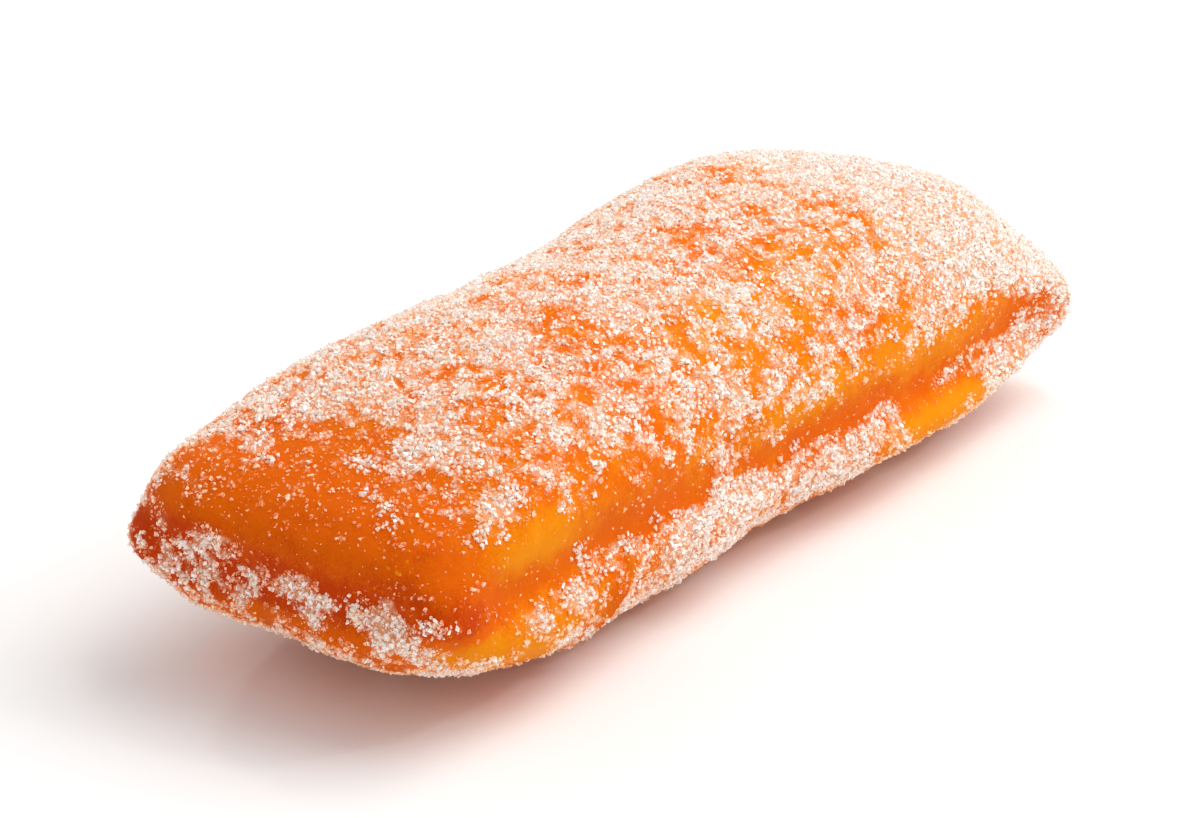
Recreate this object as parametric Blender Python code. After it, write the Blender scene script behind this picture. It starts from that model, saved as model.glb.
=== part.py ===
"""A long fried beignet: one soft pillow of dough with a crease round its waist.

The dough lies on its flat base. +X runs along its length, +Z is up, and the origin is the
centre of its bounding box on the base plane. All sizes are in metres, all latitudes in degrees:
0 at the waist, +90 at the crown and -90 at the middle of the base.
"""

import bmesh
import bpy
import numpy as np

# Driving sizes of the dough at its waist and over its height.
LENGTH = 0.140
WIDTH = 0.0506
DOME_HEIGHT = 0.0232      # from the waist up to the crown
BELLY_HEIGHT = 0.0162     # from the waist down to the base, before it settles
SETTLE = 0.0006           # how far the base is flattened by its own weight

# Mesh density: cells along the length, the width and the height.
CELLS = (46, 18, 14)
WAIST_CROWDING = 1.25     # above 1 draws the side rows closer to the waist

# Corners of the outline, as a share of its half width: tight at the waist, round above and below.
WAIST_CORNER = 0.37
CROWN_CORNER = 0.75
BASE_CORNER = 0.80
CORNER_POWER = 2.2        # 2 rounds a corner as an arc, more makes it squarer
OUTLINE_CHANGE = 1.6      # how soon above and below the waist the corners round off

# Profile. A lower power makes the sides fuller.
SHOULDER_POWER = 0.92
BELLY_POWER = 0.72
HEIGHT_POWER = 0.85
RIM_LATITUDE = 28.0       # where the sides end and the top and bottom caps begin

# The crease round the waist fades out at the corners, where the seam ends in tips.
CREASE_DEPTH = 0.0021
CREASE_SPREAD = 9.0
TIP_REACH = 0.007         # from the corner along the sides
TIP_SPREAD = 10.0

# How far each tip stands out, by the signs of x and y at its corner.
TIP_LENGTH = {
    (-1, +1): 0.0032,
    (-1, -1): 0.0018,
    (+1, -1): 0.0028,
    (+1, +1): 0.0022,
}

# Between the corners the waist bows outwards, flat-topped and dropping quickly at the corners.
SIDE_BOW = 0.0010
END_BOW = 0.0026
BOW_POWER = 8.0
BOW_SPREAD = 40.0

# The waist isn't level: how far it rises at each corner, by the signs of x and y there.
WAIST_RISE = {
    (-1, +1): 0.0024,
    (-1, -1): 0.0028,
    (+1, -1): -0.0025,
    (+1, +1): 0.0,
}
RISE_SPREAD = 35.0

# Swellings (+) and hollows (-) of the dome: x, y, reach in x, reach in y, height. They grow
# from nothing at the waist to their full height over this many degrees.
DOME_RAMP = 15.0
DOME_RELIEF = {
    "back_saddle": (-0.004, 0.022, 0.018, 0.020, -0.0012),
    "near_back_swelling": (-0.050, 0.016, 0.020, 0.014, 0.0010),
    "far_back_swelling": (0.034, 0.014, 0.018, 0.012, 0.0006),
    "far_end_swelling": (0.057, -0.004, 0.014, 0.012, 0.0014),
    "front_saddle": (-0.014, -0.022, 0.012, 0.012, -0.0007),
    "crown_hollow": (-0.004, -0.003, 0.016, 0.009, -0.0006),
}

# The same for the belly, where the near front corner bulges as a lobe of its own.
BELLY_RELIEF = {
    "far_front_swelling": (0.035, -0.024, 0.016, 0.012, 0.0023),
    "near_back_lobe": (-0.062, 0.018, 0.012, 0.010, 0.0008),
    "front_hollow": (0.002, -0.024, 0.014, 0.012, -0.0006),
}
LOBE_HEIGHT = 0.0014      # how far the near front lobe stands proud
LOBE_END_X = -0.033       # the fold where that lobe ends on the front side
LOBE_END_LENGTH = 0.0025
PINCH_DEPTH = 0.0014      # a tuck under the near end
PINCH_Y = 0.005
PINCH_REACH = 0.004
BELLY_RAMP = 25.0         # latitudes over which the belly's relief grows from the waist
BELLY_FADE = 70.0         # the latitude by which it has gone, short of the flat base
BELLY_FADE_RAMP = 35.0

CRUST_COLOUR = (0.62, 0.21, 0.03, 1.0)
CRUST_ROUGHNESS = 0.55


def smooth_step(value):
    """0 below 0, 1 above 1, and a smooth ramp between them."""
    value = np.clip(value, 0.0, 1.0)
    return value * value * (3.0 - 2.0 * value)


def hump(value, spread):
    """A bell curve, 1 at 0."""
    return np.exp(-((value / spread) ** 2))


def relief_of(features, x, y):
    """The sum of the named swellings and hollows at each point."""
    total = np.zeros_like(x)
    for at_x, at_y, reach_x, reach_y, height in features.values():
        total += height * hump(x - at_x, reach_x) * hump(y - at_y, reach_y)
    return total


def latitude_of(cube, ring):
    """Turns each point of the cube's surface into its latitude on the pillow."""
    height = cube[:, 2]
    on_cap = np.abs(height) > 1.0 - 1e-6
    cap = np.sign(height) * (90.0 - (90.0 - RIM_LATITUDE) * ring)
    side = RIM_LATITUDE * np.sign(height) * np.abs(height) ** WAIST_CROWDING
    return np.where(on_cap, cap, side)


def outline_of(round_x, round_y, latitude):
    """The outline at each latitude, a rectangle with rounded corners, and which way is out."""
    above = smooth_step(np.maximum(latitude, 0.0) / 90.0 * OUTLINE_CHANGE)
    below = smooth_step(np.maximum(-latitude, 0.0) / 90.0 * OUTLINE_CHANGE)
    share = WAIST_CORNER + (CROWN_CORNER - WAIST_CORNER) * above + (BASE_CORNER - WAIST_CORNER) * below
    radius = share * WIDTH / 2.0
    side = np.stack([round_x * LENGTH / 2.0, round_y * WIDTH / 2.0])
    core = np.stack([LENGTH / 2.0 - radius, WIDTH / 2.0 - radius])
    centre = np.clip(side, -core, core)
    corner = (side - centre) / radius
    scale = np.maximum((np.abs(corner) ** CORNER_POWER).sum(axis=0) ** (1.0 / CORNER_POWER), 1e-6)
    corner = corner / scale
    out = np.sign(corner) * np.abs(corner) ** (CORNER_POWER - 1.0)
    out = out / (np.hypot(out[0], out[1]) + 1e-9)
    return centre + radius * corner, out


def belly_push(x, y, round_x, round_y, latitude):
    """How far the belly's lobes, fold and tuck move its skin outwards."""
    presence = smooth_step(-latitude / BELLY_RAMP) * smooth_step((latitude + BELLY_FADE) / BELLY_FADE_RAMP)
    before_fold = smooth_step((LOBE_END_X - x) / LOBE_END_LENGTH + 0.5)
    lobe = LOBE_HEIGHT * before_fold * smooth_step(-round_y)
    tuck = PINCH_DEPTH * smooth_step(-round_x) * hump(y - PINCH_Y, PINCH_REACH)
    return presence * (relief_of(BELLY_RELIEF, x, y) + lobe - tuck)


def waist_push(round_x, round_y, latitude):
    """The crease along the waist, its bow between the corners and the tips at the corners."""
    tip = np.zeros_like(latitude)
    tip_share = np.zeros_like(latitude)
    for (side_x, side_y), length in TIP_LENGTH.items():
        along, across = (1.0 - side_x * round_x) * LENGTH / 2.0, (1.0 - side_y * round_y) * WIDTH / 2.0
        share = hump(np.hypot(along, across), TIP_REACH)
        tip += length * share * hump(latitude, TIP_SPREAD)
        tip_share += share
    crease = CREASE_DEPTH * (1.0 - tip_share) * hump(latitude, CREASE_SPREAD)
    side_bow = SIDE_BOW * (1.0 - round_x ** 2) * np.abs(round_y) ** BOW_POWER
    end_bow = END_BOW * (1.0 - round_y ** 2) * np.abs(round_x) ** BOW_POWER
    return tip - crease + (side_bow + end_bow) * hump(latitude, BOW_SPREAD)


def waist_rise(round_x, round_y, ring, latitude):
    """How far the waist is lifted or lowered towards each corner."""
    rise = np.zeros_like(latitude)
    for (side_x, side_y), height in WAIST_RISE.items():
        share = smooth_step((1.0 + side_x * round_x) / 2.0) * smooth_step((1.0 + side_y * round_y) / 2.0)
        rise += height * share
    return rise * ring ** 2 * hump(latitude, RISE_SPREAD)


def pillow(cube):
    """Moves points of a 2 x 2 x 2 cube's surface onto the dough's skin."""
    ring = np.maximum(np.abs(cube[:, :2]).max(axis=1), 1e-9)
    round_x, round_y = cube[:, 0] / ring, cube[:, 1] / ring
    latitude = latitude_of(cube, ring)
    angle = np.radians(latitude)
    (x, y), out = outline_of(round_x, round_y, latitude)

    reach = np.cos(angle).clip(0.0, 1.0)
    reach = np.where(latitude >= 0.0, reach ** SHOULDER_POWER, reach ** BELLY_POWER)
    x, y = x * reach, y * reach
    full_height = np.where(latitude >= 0.0, DOME_HEIGHT, -BELLY_HEIGHT)
    z = full_height * np.abs(np.sin(angle)) ** HEIGHT_POWER
    z = z + waist_rise(round_x, round_y, ring, latitude)

    dome = smooth_step(latitude / DOME_RAMP) * relief_of(DOME_RELIEF, x, y)
    push = dome + belly_push(x, y, round_x, round_y, latitude)
    push_sideways = push * np.cos(angle) + waist_push(round_x, round_y, latitude)
    x, y = x + out[0] * push_sideways, y + out[1] * push_sideways
    z = z + dome * np.sin(angle).clip(0.0, 1.0)

    z = np.maximum(z + BELLY_HEIGHT - SETTLE, 0.0)
    return np.stack([x, y, z], axis=1)


def subdivide_along(mesh, axis, cells):
    """Cuts every edge that runs along one axis into equal cells."""
    along = []
    for edge in mesh.edges:
        step = edge.verts[1].co - edge.verts[0].co
        if abs(step[axis]) > 1e-6:
            along.append(edge)
    bmesh.ops.subdivide_edges(mesh, edges=along, cuts=cells - 1, use_grid_fill=True)


def make_dough():
    """The dough as one closed skin, centred over the origin with its base on z = 0."""
    mesh = bmesh.new()
    bmesh.ops.create_cube(mesh, size=2.0)
    for axis, cells in enumerate(CELLS):
        subdivide_along(mesh, axis, cells)
    points = pillow(np.array([vert.co for vert in mesh.verts], dtype=float))
    middle = (points.min(axis=0) + points.max(axis=0)) / 2.0
    points[:, :2] -= middle[:2]
    for vert, point in zip(mesh.verts, points):
        vert.co = point
    bmesh.ops.recalc_face_normals(mesh, faces=mesh.faces)

    data = bpy.data.meshes.new("beignet")
    mesh.to_mesh(data)
    mesh.free()
    data.shade_smooth()
    return bpy.data.objects.new("beignet", data)


def crust_material():
    """Fried crust: deep golden brown, softly glossy."""
    material = bpy.data.materials.new("fried_crust")
    material.use_nodes = True
    shader = material.node_tree.nodes["Principled BSDF"]
    shader.inputs["Base Color"].default_value = CRUST_COLOUR
    shader.inputs["Roughness"].default_value = CRUST_ROUGHNESS
    shader.inputs["Metallic"].default_value = 0.0
    return material


def main():
    for obj in list(bpy.data.objects):
        bpy.data.objects.remove(obj, do_unlink=True)
    collection = bpy.data.collections.new("beignet")
    bpy.context.scene.collection.children.link(collection)
    dough = make_dough()
    dough.data.materials.append(crust_material())
    collection.objects.link(dough)


main()
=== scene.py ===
import math

import bmesh
import bpy
import numpy as np
from mathutils import Matrix, Vector, noise
from mathutils.bvhtree import BVHTree


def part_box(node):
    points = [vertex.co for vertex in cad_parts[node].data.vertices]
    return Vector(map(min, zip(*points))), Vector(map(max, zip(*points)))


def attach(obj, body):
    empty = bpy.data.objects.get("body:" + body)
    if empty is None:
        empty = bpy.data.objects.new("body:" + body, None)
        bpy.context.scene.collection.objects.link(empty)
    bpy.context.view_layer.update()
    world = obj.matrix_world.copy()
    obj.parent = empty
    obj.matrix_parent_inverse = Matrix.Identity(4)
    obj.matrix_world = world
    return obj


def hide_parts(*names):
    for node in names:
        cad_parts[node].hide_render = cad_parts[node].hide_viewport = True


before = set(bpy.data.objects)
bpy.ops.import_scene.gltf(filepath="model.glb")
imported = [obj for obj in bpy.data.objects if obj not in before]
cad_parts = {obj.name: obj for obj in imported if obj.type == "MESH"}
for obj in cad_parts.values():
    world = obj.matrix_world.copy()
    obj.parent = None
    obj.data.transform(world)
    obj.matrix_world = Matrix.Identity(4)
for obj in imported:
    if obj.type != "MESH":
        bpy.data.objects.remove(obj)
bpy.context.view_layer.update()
doughLow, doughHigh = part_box("beignet")
halfLength = (doughHigh.x - doughLow.x) / 2
halfWidth = (doughHigh.y - doughLow.y) / 2
mm = 0.001


def ramp(low, high, value):  # 0 before low, 1 after high, smooth between
    share = np.clip((value - low) / (high - low), 0.0, 1.0)
    return share * share * (3.0 - 2.0 * share)


def hump(value, spread):  # bell curve, 1 at 0
    return np.exp(-(value / spread) ** 2)


def noiseAt(points, size, shift):  # soft noise from about -1 to 1, in lumps of that size
    fullSwing = 1.6  # brings the raw noise, which rarely passes 0.6, up to about 1
    places = points / size + shift
    return np.array([noise.noise(place) for place in places.tolist()]) * fullSwing


def spots(points, table):  # sum of soft spots: place x y z, reach x y z (mm), strength
    total = np.zeros(len(points))
    for x, y, z, reachX, reachY, reachZ, strength in table.values():
        away = (points / mm - (x, y, z)) / (reachX, reachY, reachZ)
        total += strength * np.exp(-(away ** 2).sum(axis=1))
    return total


# one value running through a material: arithmetic on it adds Math nodes
class Flow:
    def __init__(self, recipe, socket):
        self.recipe = recipe
        self.socket = socket

    def step(self, operation, first, second):
        return self.recipe.make("ShaderNodeMath", {"operation": operation}, {0: first, 1: second})

    def __add__(self, other):
        return self.step("ADD", self, other)

    def __sub__(self, other):
        return self.step("SUBTRACT", self, other)

    def __rsub__(self, other):
        return self.step("SUBTRACT", other, self)

    def __mul__(self, other):
        return self.step("MULTIPLY", self, other)

    __radd__ = __add__
    __rmul__ = __mul__

    def between(self, low, high):  # 0 below low, 1 above high
        settings = {"interpolation_type": "SMOOTHSTEP"}
        sockets = {"Value": self, "From Min": low, "From Max": high}
        return self.recipe.make("ShaderNodeMapRange", settings, sockets)


# a material and its nodes
class Recipe:
    def __init__(self, name, constants):
        self.material = bpy.data.materials.new(name)
        self.material.use_nodes = True
        self.tree = self.material.node_tree
        self.shader = self.tree.nodes["Principled BSDF"]
        for socket, value in constants.items():
            self.shader.inputs[socket].default_value = value
        self.place = self.make("ShaderNodeTexCoord", {}, {}, "Object")

    def make(self, kind, settings, sockets, output=0):
        node = self.tree.nodes.new(kind)
        for name, value in settings.items():
            setattr(node, name, value)
        for name, value in sockets.items():
            self.feed(node.inputs[name], value)
        return Flow(self, node.outputs[output])

    def feed(self, socket, value):
        if isinstance(value, Flow):
            self.tree.links.new(value.socket, socket)
        else:
            socket.default_value = value

    def noise(self, size, detail=2.0, roughness=0.5, place=None):
        sockets = {
            "Vector": place or self.place,
            "Scale": 1.0 / size,
            "Detail": detail,
            "Roughness": roughness,
        }
        return self.make("ShaderNodeTexNoise", {}, sockets)

    def stretched(self, scale):  # the object's place, pulled out along one way
        return self.make("ShaderNodeMapping", {}, {"Vector": self.place, "Scale": scale})

    def attribute(self, name):
        return self.make("ShaderNodeAttribute", {"attribute_name": name}, {}, "Fac")

    def blend(self, share, first, second):  # mixes two colours
        sockets = {0: share, 6: first, 7: second}  # the Mix node's factor and its colours
        return self.make("ShaderNodeMix", {"data_type": "RGBA"}, sockets, 2)

    def bump(self, height, distance, strength):
        sockets = {"Height": height, "Distance": distance, "Strength": strength}
        return self.make("ShaderNodeBump", {}, sockets)

    def finish(self, **sockets):
        for name, value in sockets.items():
            self.feed(self.shader.inputs[name.replace("_", " ")], value)
        return self.material


# the waist is where the dough is creased all round
waist = {
    "height": 15.6 * mm,
    "nearBack": 2.4 * mm,   # how far the line rises towards each corner
    "nearFront": 2.8 * mm,
    "farBack": 0.0 * mm,
    "farFront": -2.5 * mm,
}


def aboveWaist(points):
    far = ramp(-1.0, 1.0, points[:, 0] / halfLength)
    back = ramp(-1.0, 1.0, points[:, 1] / halfWidth)
    near, front = 1.0 - far, 1.0 - back
    line = waist["height"] + near * (back * waist["nearBack"] + front * waist["nearFront"])
    line += far * (back * waist["farBack"] + front * waist["farFront"])
    return points[:, 2] - line


# Spans such as (-1, -4) give where something starts and where it is complete. A noise's shift only
# picks another part of the noise.
crust = {
    "subdivisions": 2,
    "broadDimples": (17 * mm, 0.45 * mm, 0.0),   # size, height, shift
    "wrinkles": (5.5 * mm, 0.16 * mm, 7.3),
    "blisters": (1.9 * mm, 0.07 * mm, 14.6),
    "sugarRoom": 0.2 * mm,                       # the crust lies this far in, under its sugar
    "lift": 0.35 * mm,                           # the dough rests on its sugar, this far off the table
}

swellings = {  # place x y z, reach x y z, how far the skin stands out, all in mm
    "nearBackCorner": (-65, 20, 27, 7, 7, 4.5, 1.7),
    "nearTip": (-71, 23, 22, 3, 4, 1.8, -0.9),
    "farEndTop": (60, -12, 31, 8, 8, 5, 0.8),
}

lip = {  # the near front lobe ends in a rolled lip, on the belly of the front side
    "x": -33.5 * mm,
    "height": 0.8 * mm,
    "length": 1.0 * mm,
    "lean": 0.35,                    # how far it leans over as it rises
    "wander": (7 * mm, 1.2 * mm, 3.1),  # size, by how much, shift
    "fromWaist": (-1.0 * mm, -4.0 * mm),
    "fromFront": (-0.45, -0.8),      # as a share of half the width
    "gap": 1.4,                      # the gap behind it, as a share of its height
    "rollAt": (1.2, 1.5),            # how far the roll lies before x and its spread, in lengths
    "gapAt": (0.4, 0.8),             # how far the gap lies beyond x and its spread, in lengths
}

tuck = {  # a soft tuck runs up the near end
    "y": 6.0 * mm,
    "depth": 0.5 * mm,
    "width": 1.6 * mm,
    "lean": 0.25,
    "ridge": 0.6,                    # the ridge beside it, as a share of its depth
    "ridgeAway": 3.2 * mm,
    "ridgeWidth": 2.2 * mm,
    "facing": (-0.55, -0.95),        # only where the skin faces the near end
    "fade": (12 * mm, 2 * mm),       # above the waist
}


def readPoints(mesh):
    points = np.zeros(len(mesh.vertices) * 3)
    mesh.vertices.foreach_get("co", points)
    return points.reshape(-1, 3)


def readNormals(mesh):
    normals = np.zeros(len(mesh.vertices) * 3)
    mesh.vertices.foreach_get("normal", normals)
    return normals.reshape(-1, 3)


def writePoints(mesh, points):
    mesh.vertices.foreach_set("co", points.ravel())
    mesh.update()


def writeAttribute(mesh, name, values, domain="POINT"):
    layer = mesh.attributes.new(name, "FLOAT", domain)
    layer.data.foreach_set("value", values)


def smoothDough():  # the CAD dough, its triangles paired into quads and subdivided
    mergeReach = 0.01 * mm
    bm = bmesh.new()
    bm.from_mesh(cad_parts["beignet"].data)
    bmesh.ops.remove_doubles(bm, verts=bm.verts, dist=mergeReach)
    bmesh.ops.join_triangles(bm, faces=bm.faces, angle_face_threshold=math.pi, angle_shape_threshold=math.pi)
    mesh = bpy.data.meshes.new("coarseDough")
    bm.to_mesh(mesh)
    bm.free()
    coarse = bpy.data.objects.new("coarseDough", mesh)
    bpy.context.scene.collection.objects.link(coarse)
    smooth = coarse.modifiers.new("smooth", "SUBSURF")
    smooth.levels = smooth.render_levels = crust["subdivisions"]
    evaluated = coarse.evaluated_get(bpy.context.evaluated_depsgraph_get())
    dough = bpy.data.meshes.new_from_object(evaluated)
    bpy.data.objects.remove(coarse)
    return dough


def lipRelief(points, up):
    belly = ramp(*lip["fromWaist"], up) * ramp(*lip["fromFront"], points[:, 1] / halfWidth)
    size, reach, shift = lip["wander"]
    wander = noiseAt(points, size, shift) * reach
    fromLip = points[:, 0] - lip["x"] - lip["lean"] * up - wander
    (rollBefore, rollSpread), (gapBeyond, gapSpread) = lip["rollAt"], lip["gapAt"]
    roll = hump(fromLip + rollBefore * lip["length"], rollSpread * lip["length"])
    gap = hump(fromLip - gapBeyond * lip["length"], gapSpread * lip["length"])
    return lip["height"] * (roll - lip["gap"] * gap) * belly


def tuckRelief(points, normals, up):
    fromTuck = points[:, 1] - tuck["y"] - tuck["lean"] * up
    groove = hump(fromTuck, tuck["width"])
    ridge = tuck["ridge"] * hump(fromTuck - tuck["ridgeAway"], tuck["ridgeWidth"])
    nearEnd = ramp(*tuck["facing"], normals[:, 0])
    return tuck["depth"] * (groove - ridge) * nearEnd * ramp(*tuck["fade"], up)


def crustRelief(points, normals):  # how far each point of the skin stands out
    relief = np.full(len(points), -crust["sugarRoom"])
    for kind in ("broadDimples", "wrinkles", "blisters"):
        size, height, shift = crust[kind]
        relief += height * noiseAt(points, size, shift)
    relief += spots(points, swellings) * mm
    up = aboveWaist(points)
    return relief + lipRelief(points, up) - tuckRelief(points, normals, up)


def shapeCrust():
    dough = smoothDough()
    points, normals = readPoints(dough), readNormals(dough)
    points = points + normals * crustRelief(points, normals)[:, None]
    points[:, 2] = np.maximum(points[:, 2], crust["lift"])
    writePoints(dough, points)
    dough.shade_smooth()
    return dough


crustMesh = shapeCrust()
skin = readPoints(crustMesh)
skinOut = readNormals(crustMesh)
print("crust shaped:", len(crustMesh.polygons), "faces")


# where the sugar lies, from 0 bare to 1 covered
cover = {
    "top": 0.76,
    "backMore": 0.06,                  # more of it towards the back of the top
    "farEnd": 1.34,
    "frontShoulder": 0.30,
    "backShoulder": 0.50,
    "farShoulderLess": 0.6,            # the bare shoulder fades towards the far end
    "endInset": 0.04,                  # the ends count as sides this much further out
    "crease": -0.12,
    "belly": 0.76,
    "nearEnd": 0.27,
    "nearBelly": 0.50,
    "valley": 0.42,                    # sugar caught in the crease of the near end
    "underside": 0.40,
    "bare": 0.20,                      # shares below this hold nothing
    "full": 0.87,                      # and above this everything
    "stray": 0.015,                    # odd grains everywhere
    "topDust": 0.17,                   # and at least this much wherever the skin faces up
    "thickest": 1.2,                   # heaps grow thicker up to this share
    "thickness": (0.4, 0.7),           # how fast they thicken, and what they start from
}

coverNoise = {  # size, amount, shift
    "wander": (13 * mm, 2.0 * mm, 5.0),    # the edges of the sugar wander up and down
    "drifts": (7 * mm, 0.18, 11.0),        # thicker and thinner drifts
    "clusters": (3.0 * mm, 0.25, 17.0),
    "crumbly": (1.4 * mm, 0.30, 23.0),
}

# Where each part of the skin starts and is complete: across and along as shares of half the
# width and half the length, facing as the z of the skin's normal, the rest above the waist.
coverSpans = {
    "nearEnd": (-0.62, -0.93),
    "farEnd": (0.45, 0.85),
    "front": (0.1, -0.5),
    "side": (0.70, 0.90),
    "facingUp": (0.60, 0.92),
    "facingSideways": (0.95, 0.8),
    "facingDown": (-0.6, -0.9),
    "shoulder": (11.0 * mm, 5.0 * mm),
    "nearPanel": (19 * mm, 8 * mm),
    "belly": (0.0 * mm, -1.8 * mm),
}

creaseShape = {
    "up": 0.8 * mm,           # the bare crease runs this far above the waist
    "width": 3.0 * mm,
    "valleyWidth": 2.2 * mm,
    "nearLess": 0.8,          # how much it fades at the near end and at the far end
    "farLess": 0.3,
}

bareSpots = {
    "crownNear": (-23, -4, 38, 5, 4, 6, -0.22),
    "crownMiddle": (10, -2, 38, 5, 4, 6, -0.20),
    "crownFar": (10, -12, 36, 5, 4, 5, -0.28),
    "shoulderFar": (8, -20, 29, 7, 4, 4, -0.32),
    "shoulderNear": (-36, -21, 26, 4, 3, 3, -0.45),
    "frontCorner": (-51, -24, 21, 11, 6, 5, -0.35),
    "bellyFar": (36, -25, 10, 9, 4, 3.0, -0.68),
    "bellyMiddle": (22, -25, 5, 6, 4, 2.5, -0.35),
    "foldLip": (-35.5, -26, 7, 1.6, 4, 5, -0.60),
    "bellyNear": (-52, -24, 9, 12, 5, 4, -0.38),
    "nearPanel": (-68, -9, 24, 5, 12, 4.5, -0.36),
    "nearPanelTop": (-63, 2, 30.0, 5, 11, 3.5, -0.27),
    "nearFrontCrease": (-58, -25, 17, 9, 5, 3, -0.45),
    "nearFrontLobe": (-65, -25, 14.5, 5, 4, 3, -0.35),
    "farFrontCrease": (53, -25, 18.5, 6, 4, 2.2, -0.40),
}

heaps = {
    "nearTip": (-68, 14, 21, 4, 5, 2.2, 0.58),
    "nearMiddle": (-69, 0, 19, 4, 2.6, 3.0, 0.35),
    "nearFront": (-68, -15, 19, 4, 5, 3.0, 0.34),
    "nearValley": (-70, 9, 21.5, 4, 5, 2.5, 0.34),
    "nearBellyEdge": (-70, -17, 14, 4, 5, 3, 0.28),
    "nearPanelBack": (-66, 14, 27, 5, 7, 4, 0.24),
    "nearBackEdge": (-63, 23, 28, 6, 4, 5, 0.34),
    "nearCornerEdge": (-63, -21, 20, 3.5, 3.5, 7, 0.32),
    "nearBellyMiddle": (-66, 6, 9, 5, 4, 3, 0.30),
    "nearBellyFront": (-62, -15, 8, 6, 5, 3, 0.35),
    "creaseBridge": (-12, -25, 18, 5, 4, 6, 0.85),
    "backBridgeNear": (-34, 25, 17, 6, 4, 5, 0.70),
    "backBridgeFar": (24, 25, 16, 5, 4, 4, 0.75),
    "frontCorner": (-62, -22, 8, 6, 5, 3.5, 0.40),
    "shoulderHeap": (-56, -21.3, 29.1, 1.7, 1.7, 1.7, 1.30),
    "farShoulder": (46, -19, 24, 9, 7, 5, 0.38),
    "lowShoulder": (28, -24, 20, 18, 5, 2.6, 0.24),
    "farTip": (67, -20, 14, 5, 6, 5, 0.75),
    "farEdge": (62, -20, 20, 9, 8, 4, 0.45),
    "farCrown": (54, -19, 29, 10, 8, 5, 0.60),
    "middleShoulder": (14, -25, 23, 8, 4, 3, 0.22),
}


def sugarCover(points, normals):
    size, reach, shift = coverNoise["wander"]
    up = aboveWaist(points) + reach * noiseAt(points, size, shift)
    x, y = points[:, 0] / halfLength, points[:, 1] / halfWidth
    nearEnd = ramp(*coverSpans["nearEnd"], x)
    farEnd = ramp(*coverSpans["farEnd"], x)
    front = ramp(*coverSpans["front"], y)

    # the top, then the shoulders below it and the near end
    share = cover["top"] + (cover["farEnd"] - cover["top"]) * farEnd + cover["backMore"] * y * (1.0 - farEnd)
    shoulder = cover["frontShoulder"] * front + cover["backShoulder"] * (1.0 - front)
    onSide = ramp(*coverSpans["side"], np.maximum(abs(y), abs(x) - cover["endInset"]))
    onShoulder = ramp(*coverSpans["shoulder"], up) * onSide * (1.0 - cover["farShoulderLess"] * farEnd)
    share = share + (shoulder - share) * onShoulder
    share = share + (cover["nearEnd"] - share) * nearEnd * ramp(*coverSpans["nearPanel"], up)

    # the crease, bare along the sides but a valley full of sugar at the near end
    crease = hump(up - creaseShape["up"], creaseShape["width"])
    crease = crease * ramp(*coverSpans["facingSideways"], abs(normals[:, 2]))
    crease = crease * (1.0 - creaseShape["nearLess"] * nearEnd) * (1.0 - creaseShape["farLess"] * farEnd)
    share = share + (cover["crease"] - share) * crease
    share = share + cover["valley"] * hump(up, creaseShape["valleyWidth"]) * nearEnd

    belly = cover["belly"] + (cover["nearBelly"] - cover["belly"]) * nearEnd
    share = share + (belly - share) * ramp(*coverSpans["belly"], up)
    share = share + (cover["underside"] - share) * ramp(*coverSpans["facingDown"], normals[:, 2])
    share = share + spots(points, bareSpots) + spots(points, heaps)
    for kind in ("drifts", "clusters", "crumbly"):
        size, amount, shift = coverNoise[kind]
        share = share + amount * noiseAt(points, size, shift)

    thicken, thinnest = cover["thickness"]
    thick = np.clip(share, 0.0, cover["thickest"]) * thicken + thinnest
    dust = cover["topDust"] * ramp(*coverSpans["facingUp"], normals[:, 2])
    lying = np.maximum(ramp(cover["bare"], cover["full"], share), dust)
    return cover["stray"] + lying * thick


skinCover = sugarCover(skin, skinOut)
writeAttribute(crustMesh, "sugarCover", skinCover)
print("sugar cover laid out: mean", round(float(skinCover.mean()), 2))


# how brown the crust is, 0 golden to 1 russet, with painted shade: the crease is painted darker where shade
# falls in it
browningAndShade = {
    "middle": 0.14,
    # painted shade: the crease is painted browner along its length, as shade falls in it
    "crease": 0.25,
    "nearCreaseShade": 0.38,                # more painted shade in the crease of the near end
    "creaseShadeUp": 5.5 * mm,              # how far its painted shade spreads above and below
    "creaseShadeDown": 2.4 * mm,
    "creaseShadeDrop": 0.6 * mm,            # its middle lies this far below the waist
    "creaseShadeVaries": (0.85, 0.25),
    "creaseShadeKeeps": 0.8,                # how much of it holds against the golden spots
    "top": 0.04,
    "facingUp": (0.55, 0.9),
    "facingSideways": (0.95, 0.8),
    "nearEnd": (-0.8, -0.95),          # as a share of half the length
    "least": -0.6,
    "most": 1.2,
}

browningAndShadeNoise = {  # size, amount, shift
    # the first two move and vary the painted shade in the crease
    "wander": (9 * mm, 0.8 * mm, 41.0),
    "creaseShadeVaries": (15 * mm, 1.0, 47.0),
    "patches": (12 * mm, 0.10, 23.0),
    "freckles": (3 * mm, 0.08, 29.0),
}

goldenSpots = {
    "frontCorner": (-52, -24, 21, 11, 6, 4.5, 0.9),
    "frontShoulder": (8, -25, 20, 20, 5, 4, 0.6),
    "frontCrown": (12, -17, 33, 26, 7, 6, 0.28),
    "frontLobe": (-64, -24, 13, 6, 5, 4, 0.5),
    "farShoulder": (38, -24, 17, 14, 5, 4, 0.6),
    "farBelly": (38, -25, 8, 12, 5, 3, 0.9),
    "nearBelly": (-52, -25, 9, 10, 5, 4, 0.5),
    "backShoulder": (-20, 25, 20, 30, 5, 5, 0.6),
    "backBelly": (10, 25, 8, 30, 5, 4, 0.6),
    "farEnd": (68, 4, 19, 5, 14, 5, 0.5),
}

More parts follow.
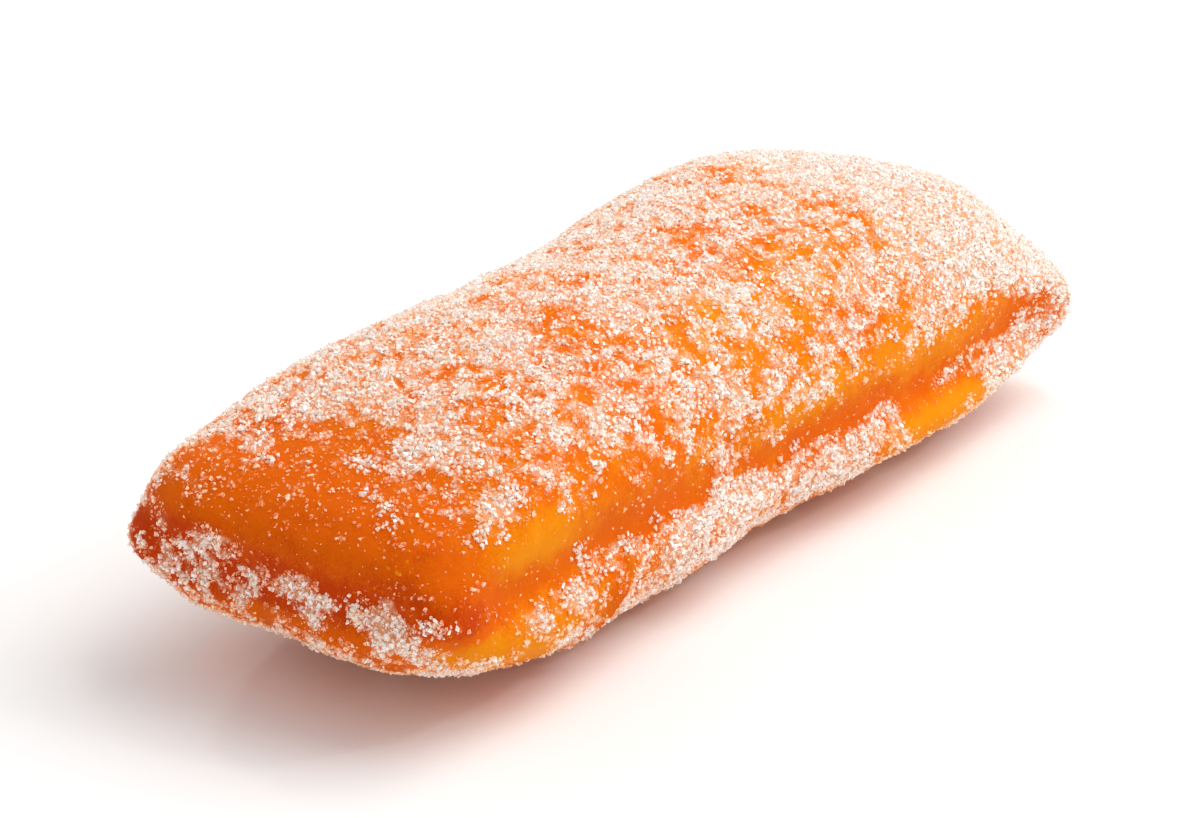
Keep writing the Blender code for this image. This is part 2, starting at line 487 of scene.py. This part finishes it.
toastedAndShadedSpots = {
    "nearEnd": (-70, 2, 20, 12, 26, 12, 0.40),
    "nearTip": (-70, 22, 18, 8, 8, 6, 0.4),
    # painted shade: the fold behind the rolled lip is painted browner where shade falls in it
    "foldLip": (-36, -26, 8, 1.5, 5, 5, 0.5),
}


def browningAndShadeNoiseAt(points, kind):
    size, amount, shift = browningAndShadeNoise[kind]
    return amount * noiseAt(points, size, shift)


def toastAndShadeOf(points, normals):
    # painted shade: the crease is painted browner where shade falls in it, most at the near end
    up = aboveWaist(points) + browningAndShade["creaseShadeDrop"] + browningAndShadeNoiseAt(points, "wander")
    crease = np.where(up > 0.0, hump(up, browningAndShade["creaseShadeUp"]), hump(up, browningAndShade["creaseShadeDown"]))
    crease = crease * ramp(*browningAndShade["facingSideways"], abs(normals[:, 2]))
    least, varies = browningAndShade["creaseShadeVaries"]
    crease = crease * (least + varies * browningAndShadeNoiseAt(points, "creaseShadeVaries"))
    nearEnd = ramp(*browningAndShade["nearEnd"], points[:, 0] / halfLength)
    toastAndShade = browningAndShade["middle"] + (browningAndShade["crease"] + browningAndShade["nearCreaseShade"] * nearEnd) * crease
    toastAndShade += spots(points, toastedAndShadedSpots)
    toastAndShade += browningAndShade["top"] * ramp(*browningAndShade["facingUp"], normals[:, 2])
    toastAndShade -= spots(points, goldenSpots) * (1.0 - browningAndShade["creaseShadeKeeps"] * np.clip(crease, 0.0, 1.0))
    toastAndShade += browningAndShadeNoiseAt(points, "patches") + browningAndShadeNoiseAt(points, "freckles")
    return np.clip(toastAndShade, browningAndShade["least"], browningAndShade["most"])


crustFinish = {
    "specular": 0.03,
    "golden": (0.84, 0.262, 0.002, 1.0),
    "amber": (0.74, 0.118, 0.001, 1.0),
    "russet": (0.53, 0.042, 0.001, 1.0),
    "fleck": (0.90, 0.330, 0.005, 1.0),
    "sugarHaze": (0.93, 0.55, 0.31, 1.0),
    "goldenToAmber": (-0.35, 0.35),    # over these shades
    "amberToRusset": (0.35, 1.05),
    "mottling": (2.2 * mm, 0.6),       # size, strength
    "speckle": (0.3 * mm, 0.6),
    "poreSize": 0.55 * mm,
    "unevenSize": 1.3 * mm,
    "fleckSize": 0.55 * mm,
    "fleckStretch": (0.6, 0.6, 1.0),
    "fleckSpan": (0.66, 0.76),
    "fleckPatches": (6.0 * mm, 0.45, 0.65),
    "fleckStrength": 0.55,
    "dustSize": 0.24 * mm,
    "hazeSpan": (1.02, 1.65),
    "hazeStrength": 0.55,
    "hazeFrom": (0.85, 1.3),           # how much the sugar cover and the dust count
    "roughness": 0.42,
    "rougher": (0.35, 0.15),           # how much the haze and the pores add
    "heights": (0.5, 0.6, 0.3),        # pores, unevenness and haze in the bump
    "bump": (0.12 * mm, 0.7),          # distance, strength
}


def friedCrust():
    finish = crustFinish
    recipe = Recipe("friedCrust", {"Specular IOR Level": finish["specular"]})
    toastAndShade = recipe.attribute("toastAndShade")
    sugarThere = recipe.attribute("sugarCover")
    mottlingSize, mottlingStrength = finish["mottling"]
    mottling = recipe.noise(mottlingSize, 3.0, 0.6) - 0.5
    pores = recipe.noise(finish["poreSize"], 2.0, 0.5)
    speckleSize, speckleStrength = finish["speckle"]
    speckle = recipe.noise(speckleSize, 2.0, 0.6) - 0.5
    shade = toastAndShade + mottling * mottlingStrength + speckle * speckleStrength
    colour = recipe.blend(shade.between(*finish["goldenToAmber"]), finish["golden"], finish["amber"])
    colour = recipe.blend(shade.between(*finish["amberToRusset"]), colour, finish["russet"])

    # golden flecks gather in patches
    flecks = recipe.noise(finish["fleckSize"], 1.0, 0.5, recipe.stretched(finish["fleckStretch"]))
    patchSize, patchLow, patchHigh = finish["fleckPatches"]
    patches = recipe.noise(patchSize, 1.0).between(patchLow, patchHigh)
    flecked = flecks.between(*finish["fleckSpan"]) * patches
    colour = recipe.blend(flecked * finish["fleckStrength"], colour, finish["fleck"])

    # fine sugar dust hazes the crust between the crystals
    dust = recipe.noise(finish["dustSize"], 2.0, 0.6)
    sugarCounts, dustCounts = finish["hazeFrom"]
    haze = (sugarThere * sugarCounts + dust * dustCounts).between(*finish["hazeSpan"])
    haze = haze * finish["hazeStrength"]
    colour = recipe.blend(haze, colour, finish["sugarHaze"])
    hazeRougher, poresRougher = finish["rougher"]
    roughness = haze * hazeRougher + pores * poresRougher + finish["roughness"]
    poreHeight, unevenHeight, hazeHeight = finish["heights"]
    uneven = recipe.noise(finish["unevenSize"], 2.0)
    height = pores * poreHeight + uneven * unevenHeight + haze * hazeHeight
    return recipe.finish(
        Base_Color=colour,
        Roughness=roughness,
        Normal=recipe.bump(height, *finish["bump"]),
    )


def show(mesh, name, material):
    piece = bpy.data.objects.new(name, mesh)
    bpy.context.scene.collection.objects.link(piece)
    mesh.materials.clear()
    mesh.materials.append(material)
    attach(piece, "root")
    return piece


# the crust's browning, with the painted shade of its crease and fold
skinToastAndShade = toastAndShadeOf(skin, skinOut)
writeAttribute(crustMesh, "toastAndShade", skinToastAndShade)
crustPiece = show(crustMesh, "crust", friedCrust())
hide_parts("beignet")
print("crust painted")


sugar = {
    "axialTilt": 0.22,                 # sugar crystals lean: their side faces aren't square to each other
    "chipping": 0.07,                  # how far each corner strays, as a share of the crystal's size
    "bevel": 0.28,
    "pointRadius": 0.6,                # the pyramids and splinters of a crystal 1 across
    "pointHeight": 0.9,
    "largest": 0.95 * mm,
    "smallest": 0.14 * mm,
    "stretchLeast": (0.85, 0.7, 0.55),
    "stretchMost": (1.2, 1.05, 0.9),
    "raised": 0.02,                    # how far a crystal's middle stands off the crust, in sizes
    "offTable": 0.02 * mm,
    "clumpGrains": 14,                 # crystals in a clump, and how far they spread
    "clumpSpread": 0.75 * mm,
    "paintedBounceHeight": 0.32 * mm,          # painted bounce light: crystals are painted in the crust's colour low down, fading to white at this height
    "paintedBounceThick": (1.8, 0.9),          # and fading sooner where they lie thicker than 0.9
    "clearest": 1.5,                   # how clear they may be where the sugar is thin; clear crystals are see-through and also painted in the crust's colour
    "clearLess": 0.85,                 # and how much less so where it is thick
    "faceShare": 0.5,                  # how far the faces of one crystal differ, so some faces are painted in the crust's colour and others white, as painted glints
}

# One piece for each kind: how many, crystal, middle size, spread of sizes, how high they stack,
# and how strongly they keep to the well sugared places.
sugarKinds = {
    "sugarCoarse": {
        "seed": 124, "count": 9900, "crystal": "bevelled", "clumped": False,
        "size": 0.52 * mm, "spread": 0.16, "stack": 0.25, "keep": 1.25,
    },
    "sugarMedium": {
        "seed": 128, "count": 16500, "crystal": "block", "clumped": False,
        "size": 0.41 * mm, "spread": 0.18, "stack": 0.20, "keep": 1.25,
    },
    "sugarFine": {
        "seed": 124, "count": 33000, "crystal": "pyramid", "clumped": False,
        "size": 0.40 * mm, "spread": 0.20, "stack": 0.12, "keep": 0.9,
    },
    "sugarChips": {
        "seed": 126, "count": 49000, "crystal": "splinter", "clumped": False,
        "size": 0.30 * mm, "spread": 0.28, "stack": 0.08, "keep": 0.6,
    },
    "sugarClumps": {
        "seed": 128, "count": 16500, "crystal": "block", "clumped": True,
        "size": 0.38 * mm, "spread": 0.20, "stack": 0.6, "keep": 1.7,
    },
}


def crystalShape(kind):  # one crystal about 1 across: its corners and its triangles
    bm = bmesh.new()
    if kind in ("pyramid", "splinter"):
        sides = 4 if kind == "pyramid" else 3
        bmesh.ops.create_cone(bm, cap_ends=True, segments=sides, radius1=sugar["pointRadius"],
                              radius2=0.0, depth=sugar["pointHeight"])
    else:
        bmesh.ops.create_cube(bm, size=1.0)
    if kind == "bevelled":
        ends = [edge for edge in bm.edges if abs((edge.verts[0].co - edge.verts[1].co).y) > 0.5]
        bmesh.ops.bevel(bm, geom=ends[::3], offset=sugar["bevel"], segments=1, profile=0.5,
                        affect="EDGES", material=-1)
    if kind in ("block", "bevelled"):
        for vert in bm.verts:
            vert.co.x += sugar["axialTilt"] * vert.co.z
    bmesh.ops.remove_doubles(bm, verts=bm.verts, dist=1e-4)
    bmesh.ops.recalc_face_normals(bm, faces=bm.faces)
    bmesh.ops.triangulate(bm, faces=bm.faces)
    corners = np.array([vert.co for vert in bm.verts])
    # sorted, so that every run lists the same triangles
    triangles = np.array(sorted([vert.index for vert in face.verts] for face in bm.faces))
    bm.free()
    return corners, triangles


def skinTriangles():
    crustMesh.calc_loop_triangles()
    triangles = np.zeros(len(crustMesh.loop_triangles) * 3, dtype=np.int32)
    crustMesh.loop_triangles.foreach_get("vertices", triangles)
    triangles = triangles.reshape(-1, 3)
    a, b, c = (skin[triangles[:, corner]] for corner in range(3))
    areas = np.linalg.norm(np.cross(b - a, c - a), axis=1) / 2.0
    return triangles, areas


# random places on the skin: which way is out there, how brown it is with its painted crease shade, and how
# thick the sugar
def scatter(rng, count, weights):
    chosen = skinFaces[rng.choice(len(skinFaces), count, p=weights / weights.sum())]
    first, second = np.sqrt(rng.random(count)), rng.random(count)
    shares = np.stack([1.0 - first, first * (1.0 - second), first * second], axis=1)
    places, outs = ((values[chosen] * shares[:, :, None]).sum(axis=1) for values in (skin, skinOut))
    brownAndShade, thick = ((values[chosen] * shares).sum(axis=1) for values in (skinToastAndShade, skinCover))
    return places, outs, brownAndShade, thick


def randomTurns(rng, count):  # even random rotations, from unit quaternions
    q = rng.normal(size=(count, 4))
    w, x, y, z = (q / np.linalg.norm(q, axis=1)[:, None]).T
    rows = [
        [1 - 2 * (y * y + z * z), 2 * (x * y - z * w), 2 * (x * z + y * w)],
        [2 * (x * y + z * w), 1 - 2 * (x * x + z * z), 2 * (y * z - x * w)],
        [2 * (x * z - y * w), 2 * (y * z + x * w), 1 - 2 * (x * x + y * y)],
    ]
    return np.array(rows).transpose(2, 0, 1)


# every crystal of a kind as one mesh, and how high each of its corners stands off the place
def joinCrystals(name, rng, corners, triangles, places, outs, stretch):
    count = len(places)
    chipped = corners[None] + rng.normal(size=(count, *corners.shape)) * sugar["chipping"]
    grains = (chipped * stretch[:, None]) @ randomTurns(rng, count).transpose(0, 2, 1)
    lowest = places[:, 2] + grains[:, :, 2].min(axis=1)
    places = places.copy()
    places[:, 2] += np.maximum(sugar["offTable"] - lowest, 0.0)  # none reaches through the table
    points = (grains + places[:, None]).reshape(-1, 3)
    faces = (triangles[None] + (np.arange(count) * len(corners))[:, None, None]).reshape(-1, 3)
    mesh = bpy.data.meshes.new(name)
    mesh.vertices.add(len(points))
    mesh.vertices.foreach_set("co", points.ravel())
    mesh.loops.add(faces.size)
    mesh.loops.foreach_set("vertex_index", faces.ravel())
    mesh.polygons.add(len(faces))
    mesh.polygons.foreach_set("loop_start", np.arange(len(faces)) * 3)
    mesh.update(calc_edges=True)
    mesh.shade_flat()
    return mesh, (grains * outs[:, None]).sum(axis=2)


def gatherClumps(rng, places, outs):  # gathers grains round a few of their own number
    count = len(places)
    centres = rng.integers(0, count // sugar["clumpGrains"], count)
    pulled = places[centres] + rng.normal(size=(count, 3)) * sugar["clumpSpread"]
    found = [skinTree.find_nearest(place) for place in pulled.tolist()]
    onSkin = np.array([place for place, out, face, distance in found])
    return onSkin, outs[centres]


def makeSugar(name, kind, material):
    rng = np.random.default_rng(kind["seed"])
    count = kind["count"]
    weights = skinAreas * skinCover[skinFaces].mean(axis=1) ** kind["keep"]
    places, outs, brownAndShade, thick = scatter(rng, count, weights)
    size = kind["size"] * np.exp(rng.normal(size=count) * kind["spread"])
    size = np.clip(size, sugar["smallest"], sugar["largest"])
    if kind["clumped"]:
        places, outs = gatherClumps(rng, places, outs)
    height = size * (sugar["raised"] + kind["stack"] * rng.random(count) ** 2)
    places = places + outs * height[:, None]
    stretch = size[:, None] * rng.uniform(sugar["stretchLeast"], sugar["stretchMost"], (count, 3))
    corners, faces = crystalShape(kind["crystal"])
    mesh, standing = joinCrystals(name, rng, corners, faces, places, outs, stretch)

    # what the finish reads for its painted light: how high it stands, how clear it is and what colour lies
    # beneath
    # painted bounce light fades with height above the crust and where the sugar lies thick
    whiter, thickFrom = sugar["paintedBounceThick"]
    risen = (standing + height[:, None]) / sugar["paintedBounceHeight"] + whiter * (thick[:, None] - thickFrom)
    writeAttribute(mesh, "risen", risen.ravel())
    grainClear = rng.random(count) * (sugar["clearest"] - sugar["clearLess"] * thick)
    faceClear = rng.random(len(mesh.polygons)) * sugar["faceShare"]
    clear = np.repeat(grainClear, len(faces)) * (1.0 - sugar["faceShare"]) + faceClear
    writeAttribute(mesh, "clear", clear, "FACE")
    writeAttribute(mesh, "beneath", np.repeat(brownAndShade, len(faces)), "FACE")
    show(mesh, name, material)
    print(name, "made:", len(mesh.polygons), "triangles")


sugarFinish = {
    "white": (1.0, 0.955, 0.92, 1.0),
    "paintedThroughGolden": (1.0, 0.58, 0.20, 1.0),      # painted see-through: the crust's colour painted into a crystal, as if seen through it
    "paintedThroughRusset": (0.97, 0.42, 0.16, 1.0),
    "paintedGlow": (0.42, 0.26, 0.17, 1.0),           # painted light: the crystals glow though they are no lamp, standing in for light scattered through them
    "paintedGlowStrength": 0.13,
    "beneathSpan": (-0.3, 1.0),
    "risenSpan": (-0.6, 1.0),
    "tintSpan": (0.2, 1.0),
    "paintedThroughTint": 0.38,
    "paintedBounceTint": 0.65,
    "seeThroughSpan": (0.15, 0.75),
    "seeThrough": 0.8,
    "specular": 0.5,
    "bending": 1.5,
    "roughness": 0.12,
}


def crystalSugar():
    finish = sugarFinish
    constants = {
        "Specular IOR Level": finish["specular"],
        "IOR": finish["bending"],
        "Roughness": finish["roughness"],
        "Emission Strength": finish["paintedGlowStrength"],
    }
    recipe = Recipe("crystalSugar", constants)
    clear = recipe.attribute("clear")
    # painted see-through: clear crystals are painted in the colour of the crust beneath them
    beneath = recipe.attribute("beneath").between(*finish["beneathSpan"])
    through = recipe.blend(beneath, finish["paintedThroughGolden"], finish["paintedThroughRusset"])
    # painted bounce light: low on a crystal, its colour and glow are the crust's
    low = 1.0 - recipe.attribute("risen").between(*finish["risenSpan"])
    paintedLightShare = clear.between(*finish["tintSpan"]) * finish["paintedThroughTint"] + low * finish["paintedBounceTint"]
    return recipe.finish(
        Base_Color=recipe.blend(paintedLightShare, finish["white"], through),
        # painted glow: the crystals give off light, in the crust's colour low down
        Emission_Color=recipe.blend(low, finish["paintedGlow"], through),
        Alpha=1.0 - clear.between(*finish["seeThroughSpan"]) * finish["seeThrough"],
    )


sugarMaterial = crystalSugar()
skinFaces, skinAreas = skinTriangles()
skinTree = BVHTree.FromPolygons(skin.tolist(), skinFaces.tolist())
for kindName, kindValues in sugarKinds.items():
    makeSugar(kindName, kindValues, sugarMaterial)


# table, light and camera
studio = {
    "tableSize": 4.0,
    "tableFinish": {"Base Color": (0.93, 0.93, 0.93, 1.0), "Roughness": 0.9},
    "worldColour": (1.0, 1.0, 1.0, 1.0),
    "worldStrength": 0.65,
    "lampsAim": (0.0, 0.0, 0.02),
}

# lights: place, size, watts, colour
lamps = {
    "keyRight": ((0.40, -0.38, 0.84), 0.9, 7.5, (1.0, 0.99, 0.97)),
    "sparkFront": ((0.25, -0.50, 0.50), 0.05, 0.35, (1.0, 1.0, 1.0)),
    "sparkBack": ((0.20, 0.55, 0.45), 0.05, 0.35, (1.0, 1.0, 1.0)),
}

view = {
    "azimuth": -53.69,
    "elevation": 23.39,
    "roll": 0.98,
    "distance": 734.8 * mm,
    "target": (-2.91 * mm, 2.28 * mm, 16.71 * mm),
    "lens": 171.2,
    "nearest": 10 * mm,
}


def makeTable():
    bm = bmesh.new()
    bmesh.ops.create_grid(bm, x_segments=1, y_segments=1, size=studio["tableSize"] / 2)
    mesh = bpy.data.meshes.new("table")
    bm.to_mesh(mesh)
    bm.free()
    table = bpy.data.objects.new("table", mesh)
    bpy.context.scene.collection.objects.link(table)
    mesh.materials.append(Recipe("paleTable", studio["tableFinish"]).material)


def aim(thing, place, target, roll=0.0):
    facing = (Vector(target) - Vector(place)).to_track_quat("-Z", "Y").to_matrix().to_4x4()
    thing.matrix_world = Matrix.Translation(place) @ facing @ Matrix.Rotation(math.radians(roll), 4, "Z")


def makeLamps():
    for name, (place, size, watts, colour) in lamps.items():
        light = bpy.data.lights.new(name, "AREA")
        light.size = size
        light.energy = watts
        light.color = colour
        lamp = bpy.data.objects.new(name, light)
        bpy.context.scene.collection.objects.link(lamp)
        aim(lamp, place, studio["lampsAim"])
    world = bpy.data.worlds.new("studio")
    world.use_nodes = True
    sky = world.node_tree.nodes["Background"]
    sky.inputs["Color"].default_value = studio["worldColour"]
    sky.inputs["Strength"].default_value = studio["worldStrength"]
    bpy.context.scene.world = world


def makeCamera():
    data = bpy.data.cameras.new("camera")
    data.lens = view["lens"]
    data.clip_start = view["nearest"]
    camera = bpy.data.objects.new("camera", data)
    bpy.context.scene.collection.objects.link(camera)
    azimuth, elevation = math.radians(view["azimuth"]), math.radians(view["elevation"])
    level = math.cos(elevation)
    back = Vector((math.sin(azimuth) * level, -math.cos(azimuth) * level, math.sin(elevation)))
    aim(camera, Vector(view["target"]) + back * view["distance"], view["target"], -view["roll"])
    bpy.context.scene.camera = camera


makeTable()
makeLamps()
makeCamera()
bpy.context.scene.view_settings.view_transform = "Standard"
print("table, lights and camera placed")
